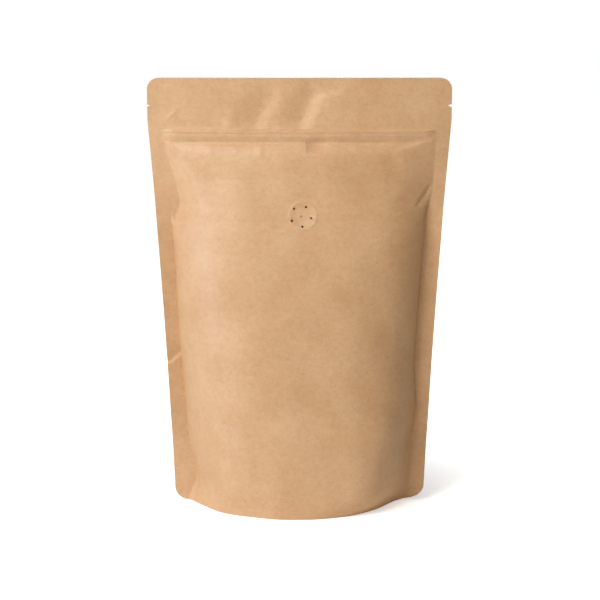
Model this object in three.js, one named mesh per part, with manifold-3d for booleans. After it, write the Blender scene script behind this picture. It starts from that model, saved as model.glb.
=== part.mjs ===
// A filled and shut kraft stand-up pouch. Its front and back are sealed along both sides and across the top.
// A press-to-close zip runs below the top, a one-way valve sits behind the front, and a gusset folded up
// between the two sheets opens underneath so that the pouch stands.
// Millimetres, +Z up, front towards -Y, origin on the floor at the middle of the base.

import * as THREE from 'three';
import { mergeVertices } from 'three/addons/utils/BufferGeometryUtils.js';
import Module from 'manifold-3d';

// ---- Driving dimensions ----

const HEIGHT = 331;
const BASE_DEPTH = 100;
const FILM = 1.2; // the sealed layers, thickened so that they are a solid
const CORNER_RADIUS = 9;

const TOP_HALF_WIDTH = 115.4; // flat, at the zip and above it
const BASE_HALF_WIDTH = 97.6; // drawn in by the filled belly
const WIDENING = 0.6; // share of the widening that grows evenly with height
const WIDENING_END = 300;

const ZIP_TOP = 291.5;
const ZIP_BOTTOM = 283.3;
const ZIP_REACH = 104; // half its length

const VALVE = { x: 2.6, z: 229.5, radius: 11.2, rimWidth: 2.0, rimHeight: 0.4, dish: 0.8 };
const PINHOLES = { across: -1.4, up: -0.5, count: 5, ring: 7.7, firstAngle: 61.5, radius: 0.85 };
const CENTRE_PINHOLE_RADIUS = 0.5;
const PINHOLE_DEPTH = 2.4;

const NOTCH_HEIGHT = 310;
const NOTCHES = [
  { side: -1, deep: 2.5, wide: 1.1 },
  { side: 1, deep: 3.0, wide: 2.0 },
];

const GUSSET_HEIGHT = 57; // where its fold meets the side seals
const SKIRT_HEIGHT = 8; // height of the curved gusset seal at the middle
const SKIRT_RISE = 50; // and how much higher it is at the sides
const FOLD_STEEPNESS = 2.6;
const GUSSET_SAG = 0.4; // how far the weight would press the middle of the gusset below the rims
const GUSSET_BOW = { middle: 8, side: 1.8 }; // how flat it is from front to back: larger is flatter
const GUSSET_END = 0.965; // where its pockets run out, as a share of the way to the seam
const CORNER_LIFT = { left: 2.2, right: 4.4 };
const CORNER_LIFT_START = 0.6; // share of the half width

// How far the side seals reach in from the edges, by height. The gusset's seal widens the left one.
const SIDE_SEAL = {
  left: [[0, 11], [22, 17.5], [49, 13.7], [93, 11.8], [125, 10.5], [160, 10], [HEIGHT, 10]],
  right: [[0, 11], [30, 10.5], [HEIGHT, 10]],
};

// How far the belly stands out from the seams, by height.
const BELLY = [[0, BASE_DEPTH / 2], [40, 48.5], [120, 43], [200, 33.5], [225, 27.5], [250, 17.5], [266, 11],
  [275, 7], [280, 3.2], [283, 0.6], [300, 0], [HEIGHT, 0]];

// The belly across the pouch is (1 - t^p)^q, t from 0 at the middle to 1 at the seam: p and q by height.
const FLATNESS = {
  left: [[0, 2.2], [140, 2.3], [190, 2.6], [215, 3], [235, 3.6], [250, 4.4], [283, 5]],
  right: [[0, 2.5], [20, 5.5], [60, 6], [90, 3.4], [130, 2.9], [175, 2.9], [215, 3.6], [283, 3.6]],
};
const SEAM_SOFTNESS = {
  left: [[0, 1.2], [25, 1], [60, 0.9], [100, 0.7], [130, 0.62], [215, 0.6], [240, 0.85], [265, 1],
    [283, 1.1]],
  right: [[0, 1.5], [20, 1.35], [50, 1.3], [75, 0.9], [95, 0.6], [175, 0.56], [215, 0.52], [228, 0.65],
    [243, 1.15], [283, 1.1]],
};

// How far the zip behind each sheet pushes it out, by height.
const ZIP_PROFILE = [[280, 0], [ZIP_BOTTOM, 0.1], [284.6, 0.4], [290.4, 1.9], [ZIP_TOP, 2.1], [292.6, 0.3],
  [294.6, 0]];

// How far both sheets bow forward between the side seals, by height, and how far the seals' edges curl.
const BOW = [[225, 0], [262, 6.5], [284, 8.8], [292, 8], [301, 6.6], [HEIGHT, 4.6]];
const SEAL_CURL = { left: 2.2, right: 2.4, from: [45, 75], to: [205, 242] };

// A fold runs along a path of [x, z] points, with its widths to the left and right as the path runs. On the
// front or back, raised is how far it stands out. One of both moves the two sheets forward together.
const FOLDS = [
  { name: 'crest of the front', sheet: 'front', path: [[-54, -40], [-58, 255]],
    left: 38, right: 120, raised: 6 },
  { name: 'header dent, left', sheet: 'both', path: [[-43, 290], [-36, 306], [-30, 334]],
    left: 20, right: 11, raised: -1.4 },
  { name: 'header dent, right', sheet: 'both', path: [[-3, 289], [7, 312], [16, 322]],
    left: 17, right: 11, raised: -2 },
  { name: 'header dent, upper', sheet: 'both', path: [[4, 314], [34, 325]],
    left: 18, right: 7, raised: -1.3 },
  { name: 'dent in the zip', sheet: 'front', path: [[5, 279], [22, 280]],
    left: 8, right: 6, raised: -1.7 },
  { name: 'left shoulder', sheet: 'front', path: [[-100, 284], [-88, 270], [-70, 226]],
    left: 14, right: 8, raised: 1.6 },
  { name: 'left kink', sheet: 'both', path: [[-118, 104], [-100, 111.5], [-86, 122]],
    left: 12, right: 4, raised: -1.1 },
  { name: 'right shoulder', sheet: 'front', path: [[79, 280], [81, 263], [68, 232]],
    left: 18, right: 10, raised: 1.1 },
  { name: 'left foot, fuller', sheet: 'front', path: [[-64, -70], [-56, 70]],
    left: 32, right: 32, raised: 6 },
  { name: 'right foot, hollower', sheet: 'front', path: [[74, -26], [74, 26]],
    left: 24, right: 24, raised: -2 },
  { name: 'back shoulder, left', sheet: 'back', path: [[-104, 284], [-92, 262], [-74, 238]],
    left: 10, right: 8, raised: 2.5 },
  { name: 'back shoulder, right', sheet: 'back', path: [[104, 282], [92, 256], [76, 232]],
    left: 8, right: 14, raised: -3.5 },
];
const FOLD_ENDS = 0.75; // how sharply folds fade along their path
const FOLD_END = 4; // how far from the side seals one sheet's folds end

// Mesh fineness.
const BODY_COLUMNS = 36;
const FIN_COLUMNS = 2;
const ROW_STEP = 9.4;
const GUSSET_ROWS = 10;
const VALVE_SIDES = 32;
const PINHOLE_SIDES = 8;

const KRAFT_COLOUR = 0xd3a67a;

// ---- Small helpers ----

const wasm = await Module();
wasm.setup();

const clamp = (value, low, high) => Math.min(Math.max(value, low), high);
const lerp = (a, b, share) => a + (b - a) * share;
const range = (count) => Array.from({ length: count }, (_, index) => index);
const sideOf = (across) => (across < 0 ? 'left' : 'right');

/** 0 at start, 1 at end, easing between them. */
function ease(value, start, end) {
  const share = clamp((value - start) / (end - start), 0, 1);
  return share ** 2 * (3 - 2 * share);
}

/** A smooth curve through [height, value] stations that never overshoots them. */
function smoothThrough(stations) {
  const slopes = stations.slice(1).map(([z, value], i) => (value - stations[i][1]) / (z - stations[i][0]));
  const tangents = stations.map((_, i) => {
    if (i === 0) return slopes[0];
    if (i === slopes.length) return slopes[i - 1];
    const [before, after] = [slopes[i - 1], slopes[i]];
    return before * after <= 0 ? 0 : (2 * before * after) / (before + after);
  });
  return (height) => {
    const z = clamp(height, stations[0][0], stations.at(-1)[0]);
    const i = clamp(stations.findIndex(([top]) => top >= z) - 1, 0, slopes.length - 1);
    const [[z0, v0], [z1, v1]] = [stations[i], stations[i + 1]];
    const span = z1 - z0;
    const t = (z - z0) / span;
    return v0 * (1 + 2 * t) * (1 - t) ** 2 + v1 * t ** 2 * (3 - 2 * t)
      + tangents[i] * span * t * (1 - t) ** 2 - tangents[i + 1] * span * t ** 2 * (1 - t);
  };
}

/** A curve over height for each half of the pouch. */
function bySide(stations) {
  const curves = { left: smoothThrough(stations.left), right: smoothThrough(stations.right) };
  return (across, z) => curves[sideOf(across)](z);
}

/** A closed solid from grids of points, whose rows run up and columns to the right as seen from outside. */
function solidFromGrids(grids) {
  const positions = [];
  for (const grid of grids) {
    for (let i = 0; i + 1 < grid.length; i += 1) {
      for (let j = 0; j + 1 < grid[i].length; j += 1) {
        const [a, b, c, d] = [grid[i][j], grid[i][j + 1], grid[i + 1][j + 1], grid[i + 1][j]];
        for (const corner of [a, b, c, a, c, d]) positions.push(...corner);
      }
    }
  }
  const geometry = new THREE.BufferGeometry();
  geometry.setAttribute('position', new THREE.Float32BufferAttribute(positions, 3));
  return toManifold(geometry);
}

function toManifold(geometry) {
  const bare = geometry.clone();
  bare.deleteAttribute('normal');
  bare.deleteAttribute('uv');
  const merged = mergeVertices(bare, 1e-3);
  const triVerts = [];
  for (let k = 0; k < merged.index.count; k += 3) {
    const triangle = [0, 1, 2].map((corner) => merged.index.getX(k + corner));
    if (new Set(triangle).size === 3) triVerts.push(...triangle);
  }
  const vertProperties = merged.attributes.position.array;
  const mesh = new wasm.Mesh({ numProp: 3, vertProperties, triVerts: new Uint32Array(triVerts) });
  return new wasm.Manifold(mesh);
}

function toGeometry(manifold) {
  const { vertProperties, triVerts } = manifold.getMesh();
  const geometry = new THREE.BufferGeometry();
  geometry.setAttribute('position', new THREE.BufferAttribute(vertProperties, 3));
  geometry.setIndex(new THREE.BufferAttribute(triVerts, 1));
  geometry.computeVertexNormals();
  return geometry;
}

// ---- The shape of the two sheets ----

const sideSeal = bySide(SIDE_SEAL);
const bellyDepth = smoothThrough(BELLY);
const flatness = bySide(FLATNESS);
const seamSoftness = bySide(SEAM_SOFTNESS);
const zipProfile = smoothThrough(ZIP_PROFILE);
const bow = smoothThrough(BOW);

function halfWidth(z) {
  const share = clamp(z / WIDENING_END, 0, 1);
  const grown = WIDENING * share + (1 - WIDENING) * share ** 2;
  return lerp(BASE_HALF_WIDTH, TOP_HALF_WIDTH, grown);
}

/** Half width of the outline, with its rounded corners. */
function outlineHalfWidth(z) {
  const toEnd = clamp(Math.min(z, HEIGHT - z), 0, CORNER_RADIUS);
  const cut = CORNER_RADIUS - Math.sqrt(CORNER_RADIUS ** 2 - (CORNER_RADIUS - toEnd) ** 2);
  return halfWidth(z) - cut;
}

const seamHalfWidth = (across, z) => halfWidth(z) - sideSeal(across, z);

/** x at u, where u is 0 at the middle, 1 at the seam and 2 at the outer edge of the side seal. */
function acrossAt(u, z) {
  const seam = seamHalfWidth(u, z);
  const across = Math.abs(u) <= 1 ? seam * Math.abs(u) : lerp(seam, outlineHalfWidth(z), Math.abs(u) - 1);
  return Math.sign(u) * across;
}

/** The nearest place on a path: how far away, its share of the way along, and which side the point is on. */
function nearestOn(path, x, z) {
  let done = 0;
  let nearest = { away: Infinity };
  path.slice(1).forEach(([endX, endZ], i) => {
    const [startX, startZ] = path[i];
    const length = Math.hypot(endX - startX, endZ - startZ);
    const [runX, runZ] = [(endX - startX) / length, (endZ - startZ) / length];
    const [relX, relZ] = [x - startX, z - startZ];
    const on = clamp(relX * runX + relZ * runZ, 0, length);
    const away = Math.hypot(relX - on * runX, relZ - on * runZ);
    const onLeft = runX * relZ - runZ * relX > 0;
    if (away < nearest.away) nearest = { away, along: done + on, onLeft };
    done += length;
  });
  return { ...nearest, along: nearest.along / done };
}

/** A fold fades in and out along its path, and rounds off to both sides. */
function foldHeight(fold, x, z) {
  const { away, along, onLeft } = nearestOn(fold.path, x, z);
  const aside = away / (onLeft ? fold.left : fold.right);
  if (aside >= 1) return 0;
  const ends = Math.max(0, Math.sin(Math.PI * along)) ** FOLD_ENDS;
  return fold.raised * ends * (1 - aside) ** 2 * (1 + 2 * aside);
}

/** The folds of one sheet end at the side seals, where it is joined to the other. */
function foldsOf(sheet, x, z) {
  const own = FOLDS.filter((fold) => fold.sheet === sheet);
  const inside = sheet === 'both' ? 1 : ease(seamHalfWidth(x, z) - Math.abs(x), 0, FOLD_END);
  return inside * own.reduce((sum, fold) => sum + foldHeight(fold, x, z), 0);
}

const zipRelief = (x, z) => (Math.abs(x) > ZIP_REACH ? 0 : zipProfile(z));

/** How far both sheets together stand forward: the bowed header, the curled side seals and shared folds. */
function lean(u, z) {
  const x = acrossAt(u, z);
  const bowed = bow(z) * (1 - (x / TOP_HALF_WIDTH) ** 2);
  const curl = SEAL_CURL[sideOf(u)] * clamp(Math.abs(u) - 1, 0, 1);
  return bowed + curl * ease(z, ...SEAL_CURL.from) * (1 - ease(z, ...SEAL_CURL.to)) + foldsOf('both', x, z);
}

/** How far a sheet's outer face stands out from the middle of the seams. */
function reach(sheet, u, z) {
  const x = acrossAt(u, z);
  const inBelly = Math.max(0, 1 - Math.abs(u) ** flatness(u, z));
  const belly = bellyDepth(z) * inBelly ** seamSoftness(u, z);
  return FILM / 2 + Math.max(0, belly + zipRelief(x, z) + foldsOf(sheet, x, z));
}

function cornerLift(u, z) {
  const share = Math.max(0, Math.abs(acrossAt(u, z)) / BASE_HALF_WIDTH - CORNER_LIFT_START);
  const fade = Math.max(0, 1 - z / GUSSET_HEIGHT);
  return CORNER_LIFT[sideOf(u)] * (share / (1 - CORNER_LIFT_START)) ** 2 * fade;
}

/** A point on the front (sheet 'front') or back sheet, raised outwards by an offset. */
function sheetPoint(sheet, u, z, offset = 0) {
  const x = acrossAt(u, z);
  const towards = sheet === 'front' ? -1 : 1;
  const y = towards * (reach(sheet, u, z) + offset) - lean(u, z);
  return [x, y, z + cornerLift(u, z)];
}

// ---- The shut pouch, still without its gusset ----

function columnStations() {
  const body = range(BODY_COLUMNS + 1).map((k) => Math.sin((Math.PI / 2) * ((2 * k) / BODY_COLUMNS - 1) * 0.8)
    / Math.sin((Math.PI / 2) * 0.8));
  const fin = range(FIN_COLUMNS).map((k) => 1 + (k + 1) / FIN_COLUMNS);
  return [...fin.map((u) => -u).reverse(), ...body, ...fin];
}

function rowHeights() {
  const arcRows = [0, 0.08, 0.3, 1].map((share) => share * CORNER_RADIUS);
  const zipRows = ZIP_PROFILE.map(([z]) => z);
  const bodyCount = Math.round((zipRows[0] - CORNER_RADIUS) / ROW_STEP);
  const bodyRows = range(bodyCount - 1).map((k) => lerp(CORNER_RADIUS, zipRows[0], (k + 1) / bodyCount));
  const header = [0.2, 0.5, 0.8].map((share) => lerp(zipRows.at(-1), HEIGHT - CORNER_RADIUS, share));
  const topArc = arcRows.map((z) => HEIGHT - z).reverse();
  return [...arcRows, ...bodyRows, ...zipRows, ...header, ...topArc];
}

function shutPouch() {
  const columns = columnStations();
  const rows = rowHeights();
  const front = rows.map((z) => columns.map((u) => sheetPoint('front', u, z)));
  const back = rows.map((z) => columns.map((u) => sheetPoint('back', u, z)));
  const mirrored = (row) => [...row].reverse();
  const leftEdge = rows.map((_, i) => [back[i][0], front[i][0]]);
  const rightEdge = rows.map((_, i) => [front[i].at(-1), back[i].at(-1)]);
  const topEdge = [front.at(-1), back.at(-1)];
  const underside = [mirrored(front[0]), mirrored(back[0])];
  return solidFromGrids([front, back.map(mirrored), leftEdge, rightEdge, topEdge, underside]);
}

// ---- The space under the gusset ----

/** Height of the curved line where the gusset is sealed to the front and back. */
function gussetSealHeight(u) {
  return SKIRT_HEIGHT + SKIRT_RISE * (1 - Math.sqrt(Math.max(0, 1 - (Math.abs(u) / GUSSET_END) ** 2)) ** 0.9);
}

function gussetFoldHeight(u) {
  return lerp(-GUSSET_SAG, GUSSET_HEIGHT, (Math.abs(u) / GUSSET_END) ** FOLD_STEEPNESS);
}

/** One loop round the space at u: up the inside of the front, over under the gusset, down the back. */
function gussetSection(u) {
  const floor = -4;
  const shut = Math.abs(u) >= GUSSET_END;
  const sealHeight = gussetSealHeight(u);
  const ridgeHeight = gussetFoldHeight(u);
  const roofBow = lerp(GUSSET_BOW.middle, GUSSET_BOW.side, Math.abs(u) / GUSSET_END);
  const wallPoint = (sheet, height) => {
    const [x, y, z] = sheetPoint(sheet, u, height, -FILM);
    const towards = sheet === 'front' ? -1 : 1;
    return [x, shut ? 0 : towards * Math.max(0, towards * y), z];
  };
  const wall = (sheet) => {
    const below = rowHeights().filter((z) => z < GUSSET_HEIGHT).map((z) => Math.min(z, sealHeight));
    const points = [...below, sealHeight].map((z) => wallPoint(sheet, z));
    const [x, y] = points[0];
    return [[x, y, floor], ...points];
  };
  const halfRoof = (sheet) => range(GUSSET_ROWS / 2 - 1).map((k) => {
    const share = Math.sin((Math.PI / 2) * (1 - (k + 1) / (GUSSET_ROWS / 2)));
    const [x, y] = wallPoint(sheet, sealHeight);
    const z = lerp(ridgeHeight, sealHeight, share ** roofBow) + cornerLift(u, sealHeight) * share;
    return [x, y * share, z];
  });
  const ridge = [acrossAt(u, ridgeHeight), 0, ridgeHeight];
  const frontHalf = [...wall('front'), ...halfRoof('front')];
  const backHalf = [...wall('back'), ...halfRoof('back')].reverse();
  return [...frontHalf, ridge, ...backHalf, frontHalf[0]];
}

function gussetSpace() {
  const inside = columnStations().filter((u) => Math.abs(u) < GUSSET_END);
  const sections = [-GUSSET_END, ...inside, GUSSET_END].map(gussetSection);
  const rows = sections[0].map((_, i) => sections.map((section) => section[i]));
  return solidFromGrids([rows]);
}

// ---- Details pressed into and cut out of the sheets ----

/** A ring or disc that follows the front, from a closed profile of [radius, raised] round the place given. */
function turnedOnFront(place, profile, sides) {
  const rows = range(sides + 1).map((k) => {
    const angle = (2 * Math.PI * (k % sides)) / sides;
    return profile.map(([radius, raised]) => {
      const x = place.x + radius * Math.cos(angle);
      const z = place.z + radius * Math.sin(angle);
      return sheetPoint('front', x / seamHalfWidth(x, z), z, raised);
    });
  });
  return solidFromGrids([rows]);
}

function valveRim() {
  const { radius, rimWidth, rimHeight } = VALVE;
  const sunk = -0.25;
  const buried = -2;
  const crown = [0, 0.25, 0.5, 0.75, 1]
    .map((share) => [radius - rimWidth * (1 - share), lerp(sunk, rimHeight, Math.sin(Math.PI * share))]);
  const profile = [...crown, [radius, buried], [radius - rimWidth, buried], crown[0]];
  return turnedOnFront(VALVE, profile, VALVE_SIDES);
}

function valveDish() {
  const outside = 3;
  const edge = VALVE.radius - VALVE.rimWidth * 0.7;
  const bowl = [1, 0.8, 0.5, 0].map((share) => [edge * share, lerp(-VALVE.dish, 0.3, share ** 3)]);
  return turnedOnFront(VALVE, [[0, outside], [edge, outside], ...bowl], VALVE_SIDES);
}

function pinhole(across, up, radius) {
  const outside = 2;
  const profile = [[0, outside], [radius, outside], [radius, -PINHOLE_DEPTH], [0, -PINHOLE_DEPTH]];
  return turnedOnFront({ x: VALVE.x + across, z: VALVE.z + up }, profile, PINHOLE_SIDES);
}

/** A hole in the middle and a ring of holes round it. */
function valvePinholes() {
  const { across, up, count, ring, firstAngle, radius } = PINHOLES;
  const round = range(count).map((k) => {
    const angle = THREE.MathUtils.degToRad(firstAngle + (360 * k) / count);
    return pinhole(across + ring * Math.cos(angle), up + ring * Math.sin(angle), radius);
  });
  return [pinhole(across, up, CENTRE_PINHOLE_RADIUS), ...round];
}

/** A tear notch: a wedge cut in from the edge of a side seal, through both sheets. */
function tearNotch({ side, deep, wide }) {
  const through = 16;
  const edge = side * outlineHalfWidth(NOTCH_HEIGHT);
  const past = edge + side * deep;
  const wedge = new THREE.Shape([
    new THREE.Vector2(edge - side * deep, NOTCH_HEIGHT),
    new THREE.Vector2(past, NOTCH_HEIGHT + wide),
    new THREE.Vector2(past, NOTCH_HEIGHT - wide),
  ]);
  const geometry = new THREE.ExtrudeGeometry(wedge, { depth: through, bevelEnabled: false });
  geometry.rotateX(Math.PI / 2);
  geometry.translate(0, through / 2, 0);
  return toManifold(geometry);
}

// ---- The whole pouch ----

function pouchSolid() {
  const cuts = [gussetSpace(), valveDish(), ...valvePinholes(), ...NOTCHES.map(tearNotch)];
  return cuts.reduce((solid, cut) => solid.subtract(cut), shutPouch().add(valveRim()));
}

const kraft = new THREE.MeshStandardMaterial({ color: KRAFT_COLOUR, roughness: 0.75, metalness: 0 });

const pouch = new THREE.Mesh(toGeometry(pouchSolid()), kraft);
pouch.name = 'pouch';

const group = new THREE.Group();
group.add(pouch);

export default group;
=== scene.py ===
"""A filled kraft stand-up pouch on a white studio floor.

Its front, back and gusset are modelled as sheets of film of their real thickness, with the folds that the
filling and the seals press into them. Sizes are in millimetres until a mesh is made, and +Z is up, with the
front towards -Y.
"""
import math
from typing import NamedTuple

import bpy
import numpy as np
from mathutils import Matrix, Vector


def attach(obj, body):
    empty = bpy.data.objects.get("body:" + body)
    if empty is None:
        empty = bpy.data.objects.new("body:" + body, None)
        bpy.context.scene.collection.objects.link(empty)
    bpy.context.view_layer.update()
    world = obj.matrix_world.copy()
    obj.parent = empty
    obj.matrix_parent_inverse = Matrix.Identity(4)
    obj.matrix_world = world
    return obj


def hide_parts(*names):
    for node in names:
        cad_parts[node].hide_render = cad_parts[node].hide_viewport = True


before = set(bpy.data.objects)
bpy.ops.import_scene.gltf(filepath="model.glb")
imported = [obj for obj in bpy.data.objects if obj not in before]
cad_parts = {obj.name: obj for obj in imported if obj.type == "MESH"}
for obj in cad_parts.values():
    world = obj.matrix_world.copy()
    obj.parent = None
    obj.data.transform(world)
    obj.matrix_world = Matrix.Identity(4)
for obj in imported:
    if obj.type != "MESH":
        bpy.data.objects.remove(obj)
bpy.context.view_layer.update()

# ---- Driving dimensions, in millimetres ----

MM = 0.001
HEIGHT = 331.0
CORNER_RADIUS = 9.0

# The film's thickness, and how far each sheet's inner face lies from the middle of a seal.
FILM = 0.3
SEAL_GAP = 0.02

# The pouch widens upwards, up to WIDENING_END. WIDENING is the share of it that a straight line gives.
TOP_HALF_WIDTH = 115.4
BASE_HALF_WIDTH = 97.6
WIDENING = 0.6
WIDENING_END = 300.0

# The zip fades out over ZIP_END at its ends, and its margin is the film just above and below it.
ZIP_TOP = 291.5
ZIP_BOTTOM = 283.3
ZIP_REACH = 106.0
ZIP_END = 12.0
ZIP_MARGIN = 4.0
MOUTH_GAP = 1.0
MOUTH_SQUARENESS = 6

VALVE = {"x": 2.6, "z": 229.5, "radius": 11.2, "rim_width": 2.0, "rim_height": 0.22, "dish": 0.7}
PINHOLES = {"across": -1.4, "up": -0.5, "count": 5, "ring": 7.7, "first_angle": 61.5, "radius": 0.85}
CENTRE_PINHOLE_RADIUS = 0.5
PINHOLE_DEPTH = 3.0
PINHOLE_SIDES = 20

NOTCH_HEIGHT = 310.0
NOTCHES = [{"side": -1, "deep": 2.5, "wide": 0.7}, {"side": 1, "deep": 3.0, "wide": 1.2}]

# The gusset is sealed to the front and back along a skirt, which rises towards the sides. Its fold rises from
# the floor to GUSSET_HEIGHT there, and a larger bow makes it flatter from front to back.
GUSSET_HEIGHT = 57.0
SKIRT_HEIGHT = 8.0
SKIRT_RISE = 50.0
SKIRT_ROUNDNESS = 0.9
FOLD_STEEPNESS = 2.6
GUSSET_SAG = 0.2
GUSSET_LOWEST = 0.05
GUSSET_END = 0.965
GUSSET_BOW = {"middle": 8.0, "side": 1.8}

# The lower corners stand a little above the floor.
CORNER_LIFT = {"left": 2.2, "right": 4.4}
CORNER_LIFT_START = 0.6

# By height: how far the side seals reach in, and how far the belly stands out from them.
SIDE_SEAL = {
    "left": [(0, 11), (22, 17.5), (49, 13.2), (93, 11.6), (125, 10.6), (160, 10.9), (205, 11.7), (235, 11.4),
             (262, 10.4), (331, 10)],
    "right": [(0, 11), (30, 10.5), (331, 10)],
}
BELLY = [(0, 50), (40, 48.5), (120, 43), (200, 33.5), (225, 27.5), (250, 17.5), (266, 11), (275, 7),
         (280, 3.2), (283, 0.6), (300, 0), (331, 0)]

# The belly across the pouch is (1 - t^p)^q, t from 0 at the middle to 1 at the seam: p and q by height.
FLATNESS = {
    "left": [(0, 2.2), (140, 2.3), (190, 2.5), (215, 2.8), (235, 3.3), (250, 4.2), (283, 5)],
    "right": [(0, 2.5), (20, 5.5), (60, 6), (90, 3.4), (130, 2.9), (175, 2.9), (215, 3.3),
              (232, 3.2), (246, 2.7), (265, 2.6), (283, 3)],
}
SEAM_SOFTNESS = {
    "left": [(0, 1.2), (25, 1), (60, 0.9), (100, 0.7), (130, 0.62), (215, 0.6), (240, 0.85), (265, 1),
             (283, 1.1)],
    "right": [(0, 1.5), (20, 1.45), (50, 1.42), (75, 0.95), (95, 0.6), (175, 0.56), (215, 0.52), (228, 0.65),
              (242, 1), (283, 1)],
}

# Beside the seams the film lies flat for a strip, and beside the left one it also stands up in a low lip.
SEAM_STRIP = {
    "left": [(212, 0), (225, 3.5), (237, 8.5), (250, 7.5), (270, 3), (283, 0)],
    "right": [(80, 0), (112, 3), (223, 3), (242, 0)],
}
LIP_PROFILE = [(0, 0), (1.1, 1), (3.5, 0.85), (10, 0.25), (18, 0)]
LIP_HEIGHT = {
    "left": [(20, 0), (60, 0.9), (120, 1.5), (200, 1.5), (215, 1.3), (230, 0)],
    "right": [(0, 0), (331, 0)],
}

# By height: how far the zip presses the film out.
ZIP_PROFILE = [(280, 0), (283.3, 0.1), (284.6, 0.5), (288.2, 1.5), (288.8, 1.4), (290.4, 1.9), (291.3, 2.1),
               (292.6, 0.3), (294.6, 0)]

# How far both sheets bow forward between the side seals, by height, and how far the seals' outer edges curl
# forward. The curl fades in and out between these heights.
BOW = [(225, 0), (262, 6.5), (284, 8.8), (292, 8), (301, 6.6), (331, 4.6)]
FIN_CURL = {"left": 2.2, "right": 2.4}
FIN_CURL_FROM = (45, 75)
FIN_CURL_TO = (205, 242)


class Fold(NamedTuple):
    """A fold along a path of (x, z) points, with its widths to the left and right of the path.

    It is raised by so many millimetres, or pressed in where that is negative. Its ridge is round at a
    sharpness of 0, and a crease at 1. A fold of both sheets moves them forward together.
    """
    sheet: str
    path: tuple
    left: float
    right: float
    raised: float
    sharp: float = 0.0


FOLDS = [
    # the crest of the filled front, left of its middle
    Fold("front", ((-62, -40), (-67, 255)), 30, 125, 4.6),
    # the header's dents, and the small creases round the zip
    Fold("both", ((-37, 290), (-30, 306), (-23, 316), (-22, 334)), 20, 11, -1.8, 0.2),
    Fold("both", ((-3, 289), (2, 302), (7, 312), (16, 322)), 17, 11, -2.0, 0.1),
    Fold("both", ((4, 314), (12, 320), (34, 325)), 18, 7, -1.3, 0.1),
    Fold("front", ((-56.5, 292), (-49, 310)), 3, 8, 0.7, 0.5),
    Fold("front", ((-102, 299), (-93, 306)), 3, 6, 0.6, 0.5),
    Fold("front", ((-16, 272), (-16, 316)), 2, 4, 0.35, 0.5),
    # the dent in the zip
    Fold("front", ((5, 279), (22, 280)), 8, 6, -1.7),
    # left shoulder
    Fold("front", ((-104, 286), (-96, 278.5), (-86, 269)), 3, 3, 1.1, 0.9),
    Fold("front", ((-100, 284), (-88, 270), (-80, 255), (-74, 238), (-70, 226)), 14, 8, 1.6, 0.3),
    # left seam's kink
    Fold("both", ((-118, 111), (-106, 111.5), (-99, 114), (-93, 120), (-88, 127)), 12, 3, -1.4, 0.4),
    # right shoulder
    Fold("front", ((110, 285), (99, 283), (88, 280.5), (72, 275)), 9, 4, 0.9, 0.6),
    Fold("front", ((79, 280), (81, 263), (77, 250), (68, 232)), 18, 10, 0.7),
    Fold("front", ((103, 252), (98, 247), (93.5, 241), (88, 233)), 6, 3, -1.7, 0.7),
    # the front's foot
    Fold("front", ((-64, -70), (-56, 70)), 32, 32, 6.0),
    Fold("front", ((74, -26), (74, 26)), 16, 16, -4.0),
    Fold("front", ((-4, 13.2), (14, 12.3), (35, 10.8)), 1.5, 1.5, 0.3, 0.5),
    # back
    Fold("back", ((-104, 284), (-92, 262), (-74, 238)), 10, 6, 2.5),
    Fold("back", ((104, 282), (92, 256), (76, 232)), 8, 14, -3.5),
]

# How sharply folds fade along their path, and how far from the side seals one sheet's folds end.
FOLD_ENDS = 0.75
FOLD_END = 4.0

# Short puckers below the zip: x, z of the middle, and how far raised.
PUCKERS = [(-68, 278, 0.4), (-49, 279, 0.4), (-30, 277, 0.7), (42, 277.5, 0.5), (66, 277, 0.3)]
PUCKER_LENGTH = 11.0
PUCKER_SLANT = 1.0
PUCKER_LEFT, PUCKER_RIGHT = 4, 2.5

# Slow waves in each sheet: the seed that places them, how high, how far apart and how many. They fade out in
# a share of the width at the seams, and where the belly is shallow.
WAVE_SEEDS = {"front": 11, "back": 23}
WAVE_HEIGHT = 0.35
WAVE_LENGTHS = (28.0, 90.0)
WAVE_COUNT = 14
WAVE_SEAM_FADE = 0.12
WAVE_FULL_BELLY = 20

# Mesh spacing, in millimetres.
BODY_STEP = 2.2
VALVE_STEP = 0.6
SEAM_STEP = 1.0
FOLD_STEP = 0.8
HEADER_STEP = 1.3
ZIP_STEP = 0.45
CORNER_STEP = 0.7
NOTCH_STEP = 0.3

# Where the mesh is fine: this far round the valve, the notches and the seams, and over these rows.
VALVE_SPAN = 14
NOTCH_SPAN = 2
SEAM_SPAN = 22.0
KINK_ROWS = (104, 126)
SHOULDER_ROWS = (229, ZIP_BOTTOM)

# The columns are spaced on a body of this half width, and each side seal has a few of its own.
COLUMN_HALF_WIDTH = 97.0
SEAL_COLUMNS = 8
GUSSET_COLUMNS = 150
WALL_ROWS = 40
ROOF_ROWS = 44
SHARP_EDGE = math.radians(50)


# ---- Kraft paper: its noises, and the colours that they pick ----

class Noise(NamedTuple):
    """How fine a noise is, its layers of finer detail, and how it is stretched and twisted."""
    scale: float
    detail: float
    roughness: float
    stretch: tuple = (1, 1, 1)
    distortion: float = 0.0


CLOUD = Noise(28, 4, 0.55)
MOTTLE = Noise(260, 5, 0.6, (0.8, 1, 1))
FIBRE_ACROSS = Noise(1400, 3, 0.5, (0.3, 1, 1), 0.9)
FIBRE_UP = Noise(1300, 3, 0.5, (1, 1, 0.45), 0.9)

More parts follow.
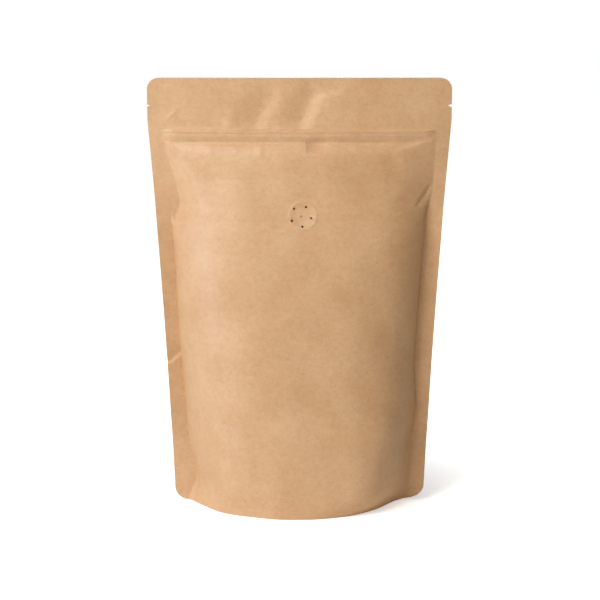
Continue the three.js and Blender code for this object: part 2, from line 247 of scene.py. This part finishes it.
# Each is a list of (noise, colour). The clouds give the paper's colour, and the others shade it.
CLOUD_COLOURS = [(0.3, (0.555, 0.317, 0.154)), (0.7, (0.62, 0.376, 0.2))]
MOTTLE_SHADES = [(0.3, (0.94, 0.93, 0.92)), (0.5, (1, 1, 1)), (0.7, (1.04, 1.05, 1.06))]
FIBRE_SHADES = [(0.12, (0.9, 0.885, 0.87)), (0.24, (1, 1, 1)), (0.4, (1.03, 1.035, 1.04))]

MOTTLE_RANGE = (0.3, 0.7)
KRAFT_ROUGHNESS = (0.4, 0.52)
KRAFT_SPECULAR = 0.5
BUMP_STRENGTH = 0.12
BUMP_DEPTH = 0.2

# Sockets of a mix of colours and of a mix of numbers.
COLOUR_MIX = {"factor": 0, "first": 6, "second": 7, "result": 2}
NUMBER_MIX = {"factor": 0, "first": 2, "second": 3, "result": 0}

# ---- Studio, in metres and degrees ----

# Softboxes: name, azimuth, elevation, power and colour.
SOFTBOXES = [
    ("key", -40, 45, 38, (1, 1, 0.98)),
    ("side", -60, 10, 22, (0.82, 1, 1.32)),
    ("front", -20, 35, 7, (1.08, 1, 0.84)),
    ("top", 0, 75, 9, (1.1, 1, 0.8)),
]
SOFTBOX_AIM = (0, 0, 0.17)
SOFTBOX_DISTANCE = 2.4
SOFTBOX_SIZE = 1.2

CAMERA_ELEVATION = 10
CAMERA_DISTANCE = 1.25
CAMERA_AIM = (0, 0, 0.1605)
LENS_MM = 97
SENSOR_MM = 36
FRAME_WIDTH_PX = 600
FRAME_SHIFT_PX = 0.5

WHITE = (1, 1, 1, 1)
BACKGROUND_SEEN = 1.05
BACKGROUND_FILL = 0.02
BACKGROUND_FILL_COLOUR = (0.97, 0.985, 1, 1)

# The floor is seen to glow from one strength near the pouch to another away from it, and its dimmer glow near
# the pouch is a painted shadow round it. It also lights the pouch with a weaker and warmer glow.
FLOOR_HALF_SIZE = 20
FLOOR_COLOUR = (0.9, 0.9, 0.9, 1)
FLOOR_ROUGHNESS = 0.9
FLOOR_SEEN_WITH_PAINTED_SHADOW = (0.47, 1.0)
FLOOR_PAINTED_SHADOW_REACH = (0.055, 0.2)
FLOOR_GLOW = 0.19
FLOOR_GLOW_COLOUR = (1.1, 0.96, 0.68, 1)


# ---- Curves that the whole pouch shares ----

def smooth_through(stations):
    """A smooth curve through (height, value) stations that never overshoots them."""
    heights, values = (np.array(column, float) for column in zip(*stations))
    spans = np.diff(heights)
    slopes = np.diff(values) / spans
    tangents = np.empty(len(heights))
    tangents[0], tangents[-1] = slopes[0], slopes[-1]
    product = slopes[:-1] * slopes[1:]
    total = slopes[:-1] + slopes[1:]
    safe = np.where(product > 0, total, 1)
    tangents[1:-1] = np.where(product > 0, 2 * product / safe, 0)

    def curve(height):
        z = np.clip(height, heights[0], heights[-1])
        i = np.clip(np.searchsorted(heights, z) - 1, 0, len(spans) - 1)
        span = spans[i]
        t = (z - heights[i]) / span
        return (values[i] * (1 + 2 * t) * (1 - t) ** 2 + values[i + 1] * t ** 2 * (3 - 2 * t)
                + tangents[i] * span * t * (1 - t) ** 2 - tangents[i + 1] * span * t ** 2 * (1 - t))

    return curve


belly_depth = smooth_through(BELLY)
zip_profile = smooth_through(ZIP_PROFILE)
bow = smooth_through(BOW)
lip_profile = smooth_through(LIP_PROFILE)


def by_side(stations):
    """A curve over height for each half of the pouch."""
    left, right = smooth_through(stations["left"]), smooth_through(stations["right"])
    return lambda u, z: np.where(u < 0, left(z), right(z))


side_seal = by_side(SIDE_SEAL)
flatness = by_side(FLATNESS)
seam_softness = by_side(SEAM_SOFTNESS)
seam_strip = by_side(SEAM_STRIP)
lip_height = by_side(LIP_HEIGHT)


def fade(value, start, end):
    """0 at start, 1 at end, easing between them."""
    share = np.clip((value - start) / (end - start), 0, 1)
    return share ** 2 * (3 - 2 * share)


def half_width(z):
    """Half width of the outline, before its corners and notches are cut."""
    share = np.clip(z / WIDENING_END, 0, 1)
    grown = WIDENING * share + (1 - WIDENING) * share ** 2
    return BASE_HALF_WIDTH + (TOP_HALF_WIDTH - BASE_HALF_WIDTH) * grown


def outline_half_width(z, side):
    """Half width of the outline, with its rounded corners and tear notch."""
    to_end = np.clip(np.minimum(z, HEIGHT - z), 0, CORNER_RADIUS)
    cut = CORNER_RADIUS - np.sqrt(CORNER_RADIUS ** 2 - (CORNER_RADIUS - to_end) ** 2)
    notch = 0
    for each in NOTCHES:
        inside = np.maximum(0, 1 - np.abs(z - NOTCH_HEIGHT) / each["wide"])
        notch = notch + np.where(side == each["side"], each["deep"] * inside, 0)
    return half_width(z) - cut - notch


def seam_half_width(side, z):
    """x of the seam, where the side seal begins. Side is negative on the left and positive on the right."""
    return half_width(z) - side_seal(side, z)


def across_at(u, z):
    """x at u, where u is 0 at the middle, 1 at the seam and 2 at the outer edge of the side seal."""
    seam = seam_half_width(u, z)
    side = np.sign(u)
    past = np.clip(np.abs(u) - 1, 0, 1)
    return side * (seam * np.minimum(np.abs(u), 1) + (outline_half_width(z, side) - seam) * past)


def fold_height(fold, x, z):
    """A fold fades in and out along its path, and rounds off to both sides."""
    nearest = np.full(x.shape, np.inf)
    along, side = np.zeros(x.shape), np.zeros(x.shape)
    done = 0.0
    for start, end in zip(fold.path, fold.path[1:]):
        length = math.dist(start, end)
        run_x, run_z = (end[0] - start[0]) / length, (end[1] - start[1]) / length
        rel_x, rel_z = x - start[0], z - start[1]
        on = np.clip(rel_x * run_x + rel_z * run_z, 0, length)
        away = np.hypot(rel_x - on * run_x, rel_z - on * run_z)
        closer = away < nearest
        nearest = np.where(closer, away, nearest)
        along = np.where(closer, done + on, along)
        side = np.where(closer, run_x * rel_z - run_z * rel_x, side)
        done += length
    aside = np.clip(nearest / np.where(side > 0, fold.left, fold.right), 0, 1)
    across = (1 - aside) ** 2 * (1 + 2 * (1 - fold.sharp) * aside)
    ends = np.maximum(0, np.sin(math.pi * along / done)) ** FOLD_ENDS
    return fold.raised * ends * across


def folds_of(sheet, x, z):
    """The folds of one sheet end at the side seals, where it is joined to the other."""
    x, z = np.broadcast_arrays(x, z)
    total = sum(fold_height(fold, x, z) for fold in FOLDS if fold.sheet == sheet)
    inside = 1 if sheet == "both" else fade(seam_half_width(x, z) - np.abs(x), 0, FOLD_END)
    return total * inside


def puckers(x, z):
    """Each pucker is a short fold that runs down and a little to the right."""
    x, z = np.broadcast_arrays(x, z)
    half = PUCKER_LENGTH / 2
    total = 0
    for at_x, at_z, raised in PUCKERS:
        path = ((at_x - PUCKER_SLANT, at_z + half), (at_x + PUCKER_SLANT, at_z - half))
        total = total + fold_height(Fold("front", path, PUCKER_LEFT, PUCKER_RIGHT, raised), x, z)
    return total


def lean(u, z):
    """How far both sheets stand forward together: the bowed header, curled side seals and shared folds."""
    x = across_at(u, z)
    forward = bow(z) * (1 - (x / TOP_HALF_WIDTH) ** 2)
    curl = np.where(u < 0, FIN_CURL["left"], FIN_CURL["right"]) * np.clip(np.abs(u) - 1, 0, 1)
    curl = curl * fade(z, *FIN_CURL_FROM) * (1 - fade(z, *FIN_CURL_TO))
    return forward + curl + folds_of("both", x, z)


def waves_of(sheet, x, z):
    """Slow, shallow waves over the film, from a few seeded ripples in all directions."""
    draw = np.random.default_rng(WAVE_SEEDS[sheet])
    total = np.zeros(np.broadcast(x, z).shape)
    for _ in range(WAVE_COUNT):
        angle = draw.uniform(0, math.pi)
        length = draw.uniform(*WAVE_LENGTHS)
        phase = draw.uniform(0, 2 * math.pi)
        total += np.sin((x * math.cos(angle) + z * math.sin(angle)) * 2 * math.pi / length + phase)
    return WAVE_HEIGHT * total / math.sqrt(WAVE_COUNT)


def seam_lip(u, z):
    """The film stands up beside the seam in a low lip."""
    inside = seam_half_width(u, z) * np.maximum(0, 1 - np.abs(u))
    return lip_height(u, z) * lip_profile(inside)


def zip_relief(x, z):
    """The zip behind the film presses it out, and fades out towards the side seals."""
    return zip_profile(z) * fade(ZIP_REACH - np.abs(x), 0, ZIP_END)


def mouth_gap(u, z):
    """Above the zip the two sheets are not sealed, and they stand slightly apart."""
    between = 1 - np.clip(np.abs(u), 0, 1) ** MOUTH_SQUARENESS
    return MOUTH_GAP * between * fade(z, ZIP_TOP + ZIP_MARGIN, HEIGHT)


def valve_relief(x, z):
    """The valve behind the front presses a ring with a shallow dish into it."""
    radius = np.hypot(x - VALVE["x"], z - VALVE["z"])
    inner = VALVE["radius"] - VALVE["rim_width"]
    rim = VALVE["rim_height"] * np.sin(math.pi * np.clip((radius - inner) / VALVE["rim_width"], 0, 1)) ** 2
    dish = VALVE["dish"] * (1 - np.clip(radius / inner, 0, 1) ** 4) ** 2
    return rim - dish


def reach(sheet, u, z):
    """How far a sheet's outer face stands out from the middle of the seams."""
    x = across_at(u, z)
    seam = seam_half_width(u, z)
    share_out = np.minimum(1, np.abs(u) * seam / (seam - seam_strip(u, z)))
    belly = belly_depth(z) * (1 - share_out ** flatness(u, z)) ** seam_softness(u, z)
    total = belly + zip_relief(x, z) + mouth_gap(u, z) / 2
    total = total + folds_of(sheet, x, z) + seam_lip(u, z)
    waves = waves_of(sheet, x, z) * fade(1 - np.abs(u), 0, WAVE_SEAM_FADE) * fade(belly, 0, WAVE_FULL_BELLY)
    total = total + waves
    if sheet == "front":
        total = total + valve_relief(x, z) + puckers(x, z)
    return FILM + SEAL_GAP + np.maximum(total, 0)


def corner_lift(u, z):
    """How far the lower corners are lifted. The lift ends at the gusset's height."""
    share = np.maximum(0, np.abs(across_at(u, z)) / BASE_HALF_WIDTH - CORNER_LIFT_START)
    lift = np.where(u < 0, CORNER_LIFT["left"], CORNER_LIFT["right"])
    return lift * (share / (1 - CORNER_LIFT_START)) ** 2 * np.maximum(0, 1 - z / GUSSET_HEIGHT)


def sheet_points(sheet, u, z):
    """Points on the outer face of the front or back sheet."""
    x = across_at(u, z)
    towards = -1 if sheet == "front" else 1
    y = towards * reach(sheet, u, z) - lean(u, z)
    return np.stack([x, y, z + corner_lift(u, z) + np.zeros_like(x)], axis=-1)


# ---- Meshes ----

def add_object(name, data):
    """A new object in the scene."""
    added = bpy.data.objects.new(name, data)
    bpy.context.scene.collection.objects.link(added)
    return added


def spaced(low, high, spans):
    """Values from low to high, whose step is the finest that any (from, to, step) span there asks for."""
    values = [low]
    while values[-1] < high:
        here = values[-1]
        step = min([step for start, end, step in spans if start - step <= here < end] or [BODY_STEP])
        values.append(here + step)
    values = np.array(values)
    return low + (values - low) * (high - low) / (values[-1] - low)


def body_columns():
    """u of each column: fine over the valve and at the seams."""
    end = COLUMN_HALF_WIDTH
    fine = [
        (VALVE["x"] - VALVE_SPAN, VALVE["x"] + VALVE_SPAN, VALVE_STEP),
        (-end, -end + SEAM_SPAN, SEAM_STEP),
        (end - SEAM_SPAN, end, SEAM_STEP),
    ]
    body = spaced(-end, end, fine) / end
    seal = 1 + np.linspace(0, 1, SEAL_COLUMNS + 1)[1:]
    return np.concatenate([-seal[::-1], body, seal])


def row_heights():
    """z of each row: fine in the corners, at the kink, over the valve and from the shoulders up."""
    fine = [
        (0, CORNER_RADIUS, CORNER_STEP),
        (HEIGHT - CORNER_RADIUS, HEIGHT, CORNER_STEP),
        (VALVE["z"] - VALVE_SPAN, VALVE["z"] + VALVE_SPAN, VALVE_STEP),
        (*KINK_ROWS, FOLD_STEP),
        (*SHOULDER_ROWS, FOLD_STEP),
        (ZIP_BOTTOM - ZIP_MARGIN, ZIP_TOP + ZIP_MARGIN, ZIP_STEP),
        (ZIP_TOP, HEIGHT, HEADER_STEP),
        (NOTCH_HEIGHT - NOTCH_SPAN, NOTCH_HEIGHT + NOTCH_SPAN, NOTCH_STEP),
    ]
    return spaced(0.0, HEIGHT, fine)


def grid_normals(points):
    """Unit normals of a grid of points."""
    along_rows = np.gradient(points, axis=1)
    along_columns = np.gradient(points, axis=0)
    normals = np.cross(along_rows, along_columns)
    return normals / np.maximum(np.linalg.norm(normals, axis=-1, keepdims=True), 1e-9)


def film_mesh(name, outer):
    """A closed sheet of film from a grid of outer points, no lower than the floor.

    Seen from outside, the grid's columns run to the right and its rows run up.
    """
    inner = outer - grid_normals(outer) * FILM
    rows, columns = outer.shape[:2]
    verts = np.concatenate([outer.reshape(-1, 3), inner.reshape(-1, 3)]) * MM
    verts[:, 2] = np.maximum(verts[:, 2], 0)
    index = np.arange(rows * columns).reshape(rows, columns)
    back = index + rows * columns

    def quads(a, b, c, d):
        return np.stack([a.ravel(), b.ravel(), c.ravel(), d.ravel()], axis=-1)

    faces = [quads(index[:-1, :-1], index[:-1, 1:], index[1:, 1:], index[1:, :-1]),
             quads(back[:-1, :-1], back[1:, :-1], back[1:, 1:], back[:-1, 1:])]
    for front_edge, back_edge in ((index[0], back[0]), (index[-1][::-1], back[-1][::-1]),
                                  (index[::-1, 0], back[::-1, 0]), (index[:, -1], back[:, -1])):
        faces.append(quads(front_edge[:-1], back_edge[:-1], back_edge[1:], front_edge[1:]))
    mesh = bpy.data.meshes.new(name)
    mesh.from_pydata(verts.tolist(), [], np.concatenate(faces).tolist())
    mesh.update()
    mesh.polygons.foreach_set("use_smooth", np.ones(len(mesh.polygons), bool))
    mesh.set_sharp_from_angle(angle=SHARP_EDGE)
    return add_object(name, mesh)


def make_sheet(sheet):
    u, z = np.meshgrid(body_columns(), row_heights())
    points = sheet_points(sheet, u, z)
    if sheet == "back":
        points = points[:, ::-1]
    return film_mesh("pouch_" + sheet, points)


# ---- The gusset ----

def gusset_points():
    """The gusset's lower face: up inside the front's foot, over to the back, and down again."""
    u = GUSSET_END * np.sin(math.pi / 2 * np.linspace(-1, 1, GUSSET_COLUMNS))
    share_out = np.abs(u) / GUSSET_END
    arch = np.sqrt(np.maximum(0, 1 - share_out ** 2)) ** SKIRT_ROUNDNESS
    seal = SKIRT_HEIGHT + SKIRT_RISE * (1 - arch)
    ridge = -GUSSET_SAG + (GUSSET_HEIGHT + GUSSET_SAG) * share_out ** FOLD_STEEPNESS
    ridge = np.maximum(ridge, GUSSET_LOWEST)
    roof_bow = GUSSET_BOW["middle"] + (GUSSET_BOW["side"] - GUSSET_BOW["middle"]) * share_out

    def wall_point(sheet, z):
        x = across_at(u, z)
        inside = reach(sheet, u, z) - 2 * (FILM + SEAL_GAP)
        towards = -1 if sheet == "front" else 1
        y = towards * np.maximum(0, inside) * (share_out < 1) - lean(u, z)
        return np.stack([x, y, z + corner_lift(u, z)], axis=-1)

    def roof_point(across):
        edge = wall_point("front" if across < 0 else "back", seal)
        share = abs(across)
        z = ridge + (seal - ridge) * share ** roof_bow + corner_lift(u, seal) * share
        return np.stack([edge[:, 0], edge[:, 1] * share, z], axis=-1)

    front_wall = [wall_point("front", seal * share) for share in np.linspace(0, 1, WALL_ROWS)]
    roof = [roof_point(across) for across in np.linspace(-1, 1, ROOF_ROWS)[1:-1]]
    back_wall = [wall_point("back", seal * share) for share in np.linspace(1, 0, WALL_ROWS)]
    return np.array(front_wall + roof + back_wall)


def make_gusset():
    points = gusset_points()
    return film_mesh("pouch_gusset", points[:, ::-1])


# ---- The pinholes over the valve ----

def pinhole_places():
    """Where each pinhole is, from the valve's middle, and its radius."""
    across, up, ring = PINHOLES["across"], PINHOLES["up"], PINHOLES["ring"]
    yield across, up, CENTRE_PINHOLE_RADIUS
    for k in range(PINHOLES["count"]):
        angle = math.radians(PINHOLES["first_angle"] + 360 * k / PINHOLES["count"])
        yield across + ring * math.cos(angle), up + ring * math.sin(angle), PINHOLES["radius"]


def pierce(front):
    """Cuts the pinholes through the front."""
    cutters = []
    for across, up, radius in pinhole_places():
        x, z = VALVE["x"] + across, VALVE["z"] + up
        u = np.array([x / seam_half_width(x, z)])
        y = sheet_points("front", u, np.array([z]))[0][1]
        bpy.ops.mesh.primitive_cylinder_add(vertices=PINHOLE_SIDES, radius=radius * MM,
                                            depth=PINHOLE_DEPTH * MM, location=(x * MM, y * MM, z * MM),
                                            rotation=(math.pi / 2, 0, 0))
        cutters.append(bpy.context.object)
    bpy.ops.object.select_all(action="DESELECT")
    for cutter in cutters:
        cutter.select_set(True)
    bpy.context.view_layer.objects.active = cutters[0]
    bpy.ops.object.join()
    cutter = cutters[0]
    cut = front.modifiers.new("pinholes", "BOOLEAN")
    cut.operation = "DIFFERENCE"
    cut.solver = "EXACT"
    cut.object = cutter
    bpy.context.view_layer.objects.active = front
    bpy.ops.object.modifier_apply(modifier=cut.name)
    bpy.data.objects.remove(cutter)


# ---- Kraft paper ----

class Nodes:
    """Adds nodes to a tree, with each input linked to a socket or set to a value."""

    def __init__(self, tree):
        self.tree = tree
        tree.nodes.clear()

    def add(self, kind, inputs=None, **settings):
        node = self.tree.nodes.new(kind)
        for key, value in settings.items():
            setattr(node, key, value)
        for key, value in (inputs or {}).items():
            if isinstance(value, bpy.types.NodeSocket):
                self.tree.links.new(value, node.inputs[key])
            else:
                node.inputs[key].default_value = value
        return node


def new_material(name):
    """A material with no nodes yet, and the adder of its nodes."""
    material = bpy.data.materials.new(name)
    material.use_nodes = True
    return material, Nodes(material.node_tree)


def noise(nodes, place, kind):
    mapped = nodes.add("ShaderNodeMapping", {"Vector": place, "Scale": kind.stretch}).outputs["Vector"]
    inputs = {"Vector": mapped, "Scale": kind.scale, "Detail": kind.detail, "Roughness": kind.roughness,
              "Distortion": kind.distortion}
    return nodes.add("ShaderNodeTexNoise", inputs).outputs["Fac"]


def combined(nodes, operation, first, second):
    return nodes.add("ShaderNodeMath", {0: first, 1: second}, operation=operation).outputs[0]


def remapped(nodes, value, source, target):
    """A value whose source range becomes the target range."""
    inputs = {"Value": value, "From Min": source[0], "From Max": source[1], "To Min": target[0],
              "To Max": target[1]}
    return nodes.add("ShaderNodeMapRange", inputs).outputs["Result"]


def mixed(nodes, sockets, factor, first, second, **settings):
    inputs = {sockets["factor"]: factor, sockets["first"]: first, sockets["second"]: second}
    return nodes.add("ShaderNodeMix", inputs, **settings).outputs[sockets["result"]]


def shaded(nodes, colour, shade):
    return mixed(nodes, COLOUR_MIX, 1.0, colour, shade, data_type="RGBA", blend_type="MULTIPLY")


def ramp(nodes, factor, stops):
    """The colour that a factor picks from (factor, colour) stops."""
    node = nodes.add("ShaderNodeValToRGB", {"Fac": factor})
    elements = node.color_ramp.elements
    while len(elements) < len(stops):
        elements.new(0.5)
    for element, (position, colour) in zip(elements, stops):
        element.position = position
        element.color = (*colour, 1)
    return node.outputs["Color"]


def kraft_material():
    """Unbleached paper: slow clouds of colour, a mottle and fine fibres, with a faint relief."""
    material, nodes = new_material("kraft")
    place = nodes.add("ShaderNodeTexCoord").outputs["Object"]
    cloud = noise(nodes, place, CLOUD)
    mottle = noise(nodes, place, MOTTLE)
    fibre = combined(nodes, "MULTIPLY", noise(nodes, place, FIBRE_ACROSS), noise(nodes, place, FIBRE_UP))

    mottled = shaded(nodes, ramp(nodes, cloud, CLOUD_COLOURS), ramp(nodes, mottle, MOTTLE_SHADES))
    colour = shaded(nodes, mottled, ramp(nodes, fibre, FIBRE_SHADES))
    height = combined(nodes, "ADD", mottle, fibre)
    bump = nodes.add("ShaderNodeBump", {"Height": height, "Strength": BUMP_STRENGTH,
                                        "Distance": BUMP_DEPTH * MM})
    rough = remapped(nodes, mottle, MOTTLE_RANGE, KRAFT_ROUGHNESS)
    shader = nodes.add("ShaderNodeBsdfPrincipled", {"Base Color": colour, "Roughness": rough,
                                                    "Normal": bump.outputs["Normal"],
                                                    "Specular IOR Level": KRAFT_SPECULAR})
    nodes.add("ShaderNodeOutputMaterial", {"Surface": shader.outputs["BSDF"]})
    return material


# ---- Studio ----

def make_camera():
    """At the photograph's viewing angle: straight in front, and a little above level."""
    elevation = math.radians(CAMERA_ELEVATION)
    data = bpy.data.cameras.new("camera")
    data.lens = LENS_MM
    data.sensor_width = SENSOR_MM
    data.shift_x = FRAME_SHIFT_PX / FRAME_WIDTH_PX
    camera = add_object("camera", data)
    aim = Vector(CAMERA_AIM)
    camera.location = aim + Vector((0, -math.cos(elevation), math.sin(elevation))) * CAMERA_DISTANCE
    camera.rotation_euler = (aim - camera.location).to_track_quat("-Z", "Y").to_euler()
    bpy.context.scene.camera = camera


def add_softbox(name, azimuth, elevation, power, colour):
    """A square softbox aimed at the pouch. Azimuth 0 is in front, and 90 to its right."""
    around, up = math.radians(azimuth), math.radians(elevation)
    towards = Vector((math.sin(around) * math.cos(up), -math.cos(around) * math.cos(up), math.sin(up)))
    data = bpy.data.lights.new(name, "AREA")
    data.size = SOFTBOX_SIZE
    data.energy = power
    data.color = colour
    light = add_object(name, data)
    light.location = Vector(SOFTBOX_AIM) + towards * SOFTBOX_DISTANCE
    light.rotation_euler = (-towards).to_track_quat("-Z", "Y").to_euler()


def make_world():
    """A faint even light from all round, with the background itself seen as pure white."""
    world = bpy.data.worlds.new("studio")
    world.use_nodes = True
    nodes = Nodes(world.node_tree)
    path = nodes.add("ShaderNodeLightPath").outputs["Is Camera Ray"]
    fill = nodes.add("ShaderNodeBackground", {"Color": BACKGROUND_FILL_COLOUR, "Strength": BACKGROUND_FILL})
    seen = nodes.add("ShaderNodeBackground", {"Color": WHITE, "Strength": BACKGROUND_SEEN})
    both = nodes.add("ShaderNodeMixShader", {0: path, 1: fill.outputs[0], 2: seen.outputs[0]})
    nodes.add("ShaderNodeOutputWorld", {"Surface": both.outputs[0]})
    bpy.context.scene.world = world


def floor_material():
    """A pale floor that glows, with its glow seen dimmer near the pouch as a painted shadow round it, on top
    of the shade that the pouch really casts.
    """
    material, nodes = new_material("floor")
    place = nodes.add("ShaderNodeTexCoord").outputs["Object"]
    away = nodes.add("ShaderNodeVectorMath", {0: place}, operation="LENGTH").outputs["Value"]
    # The glow seen is dimmer close to the pouch: a painted shadow round it.
    seen = remapped(nodes, away, FLOOR_PAINTED_SHADOW_REACH, FLOOR_SEEN_WITH_PAINTED_SHADOW)
    path = nodes.add("ShaderNodeLightPath").outputs["Is Camera Ray"]
    glow = mixed(nodes, NUMBER_MIX, path, FLOOR_GLOW, seen, data_type="FLOAT")
    colour = mixed(nodes, COLOUR_MIX, path, FLOOR_GLOW_COLOUR, WHITE, data_type="RGBA")
    shader = nodes.add("ShaderNodeBsdfPrincipled", {"Base Color": FLOOR_COLOUR, "Roughness": FLOOR_ROUGHNESS,
                                                    "Emission Color": colour, "Emission Strength": glow})
    nodes.add("ShaderNodeOutputMaterial", {"Surface": shader.outputs["BSDF"]})
    return material


def make_floor():
    half = FLOOR_HALF_SIZE
    mesh = bpy.data.meshes.new("floor")
    corners = [(-half, -half, 0), (half, -half, 0), (half, half, 0), (-half, half, 0)]
    mesh.from_pydata(corners, [], [(0, 1, 2, 3)])
    mesh.materials.append(floor_material())
    add_object("floor", mesh)


def make_studio():
    make_camera()
    make_world()
    make_floor()
    for softbox in SOFTBOXES:
        add_softbox(*softbox)
    bpy.context.scene.view_settings.view_transform = "Standard"


# ---- The whole picture ----

make_studio()
kraft = kraft_material()
front = make_sheet("front")
pierce(front)
pieces = [front, make_sheet("back"), make_gusset()]
for piece in pieces:
    piece.data.materials.append(kraft)
    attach(piece, "root")
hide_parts("pouch")
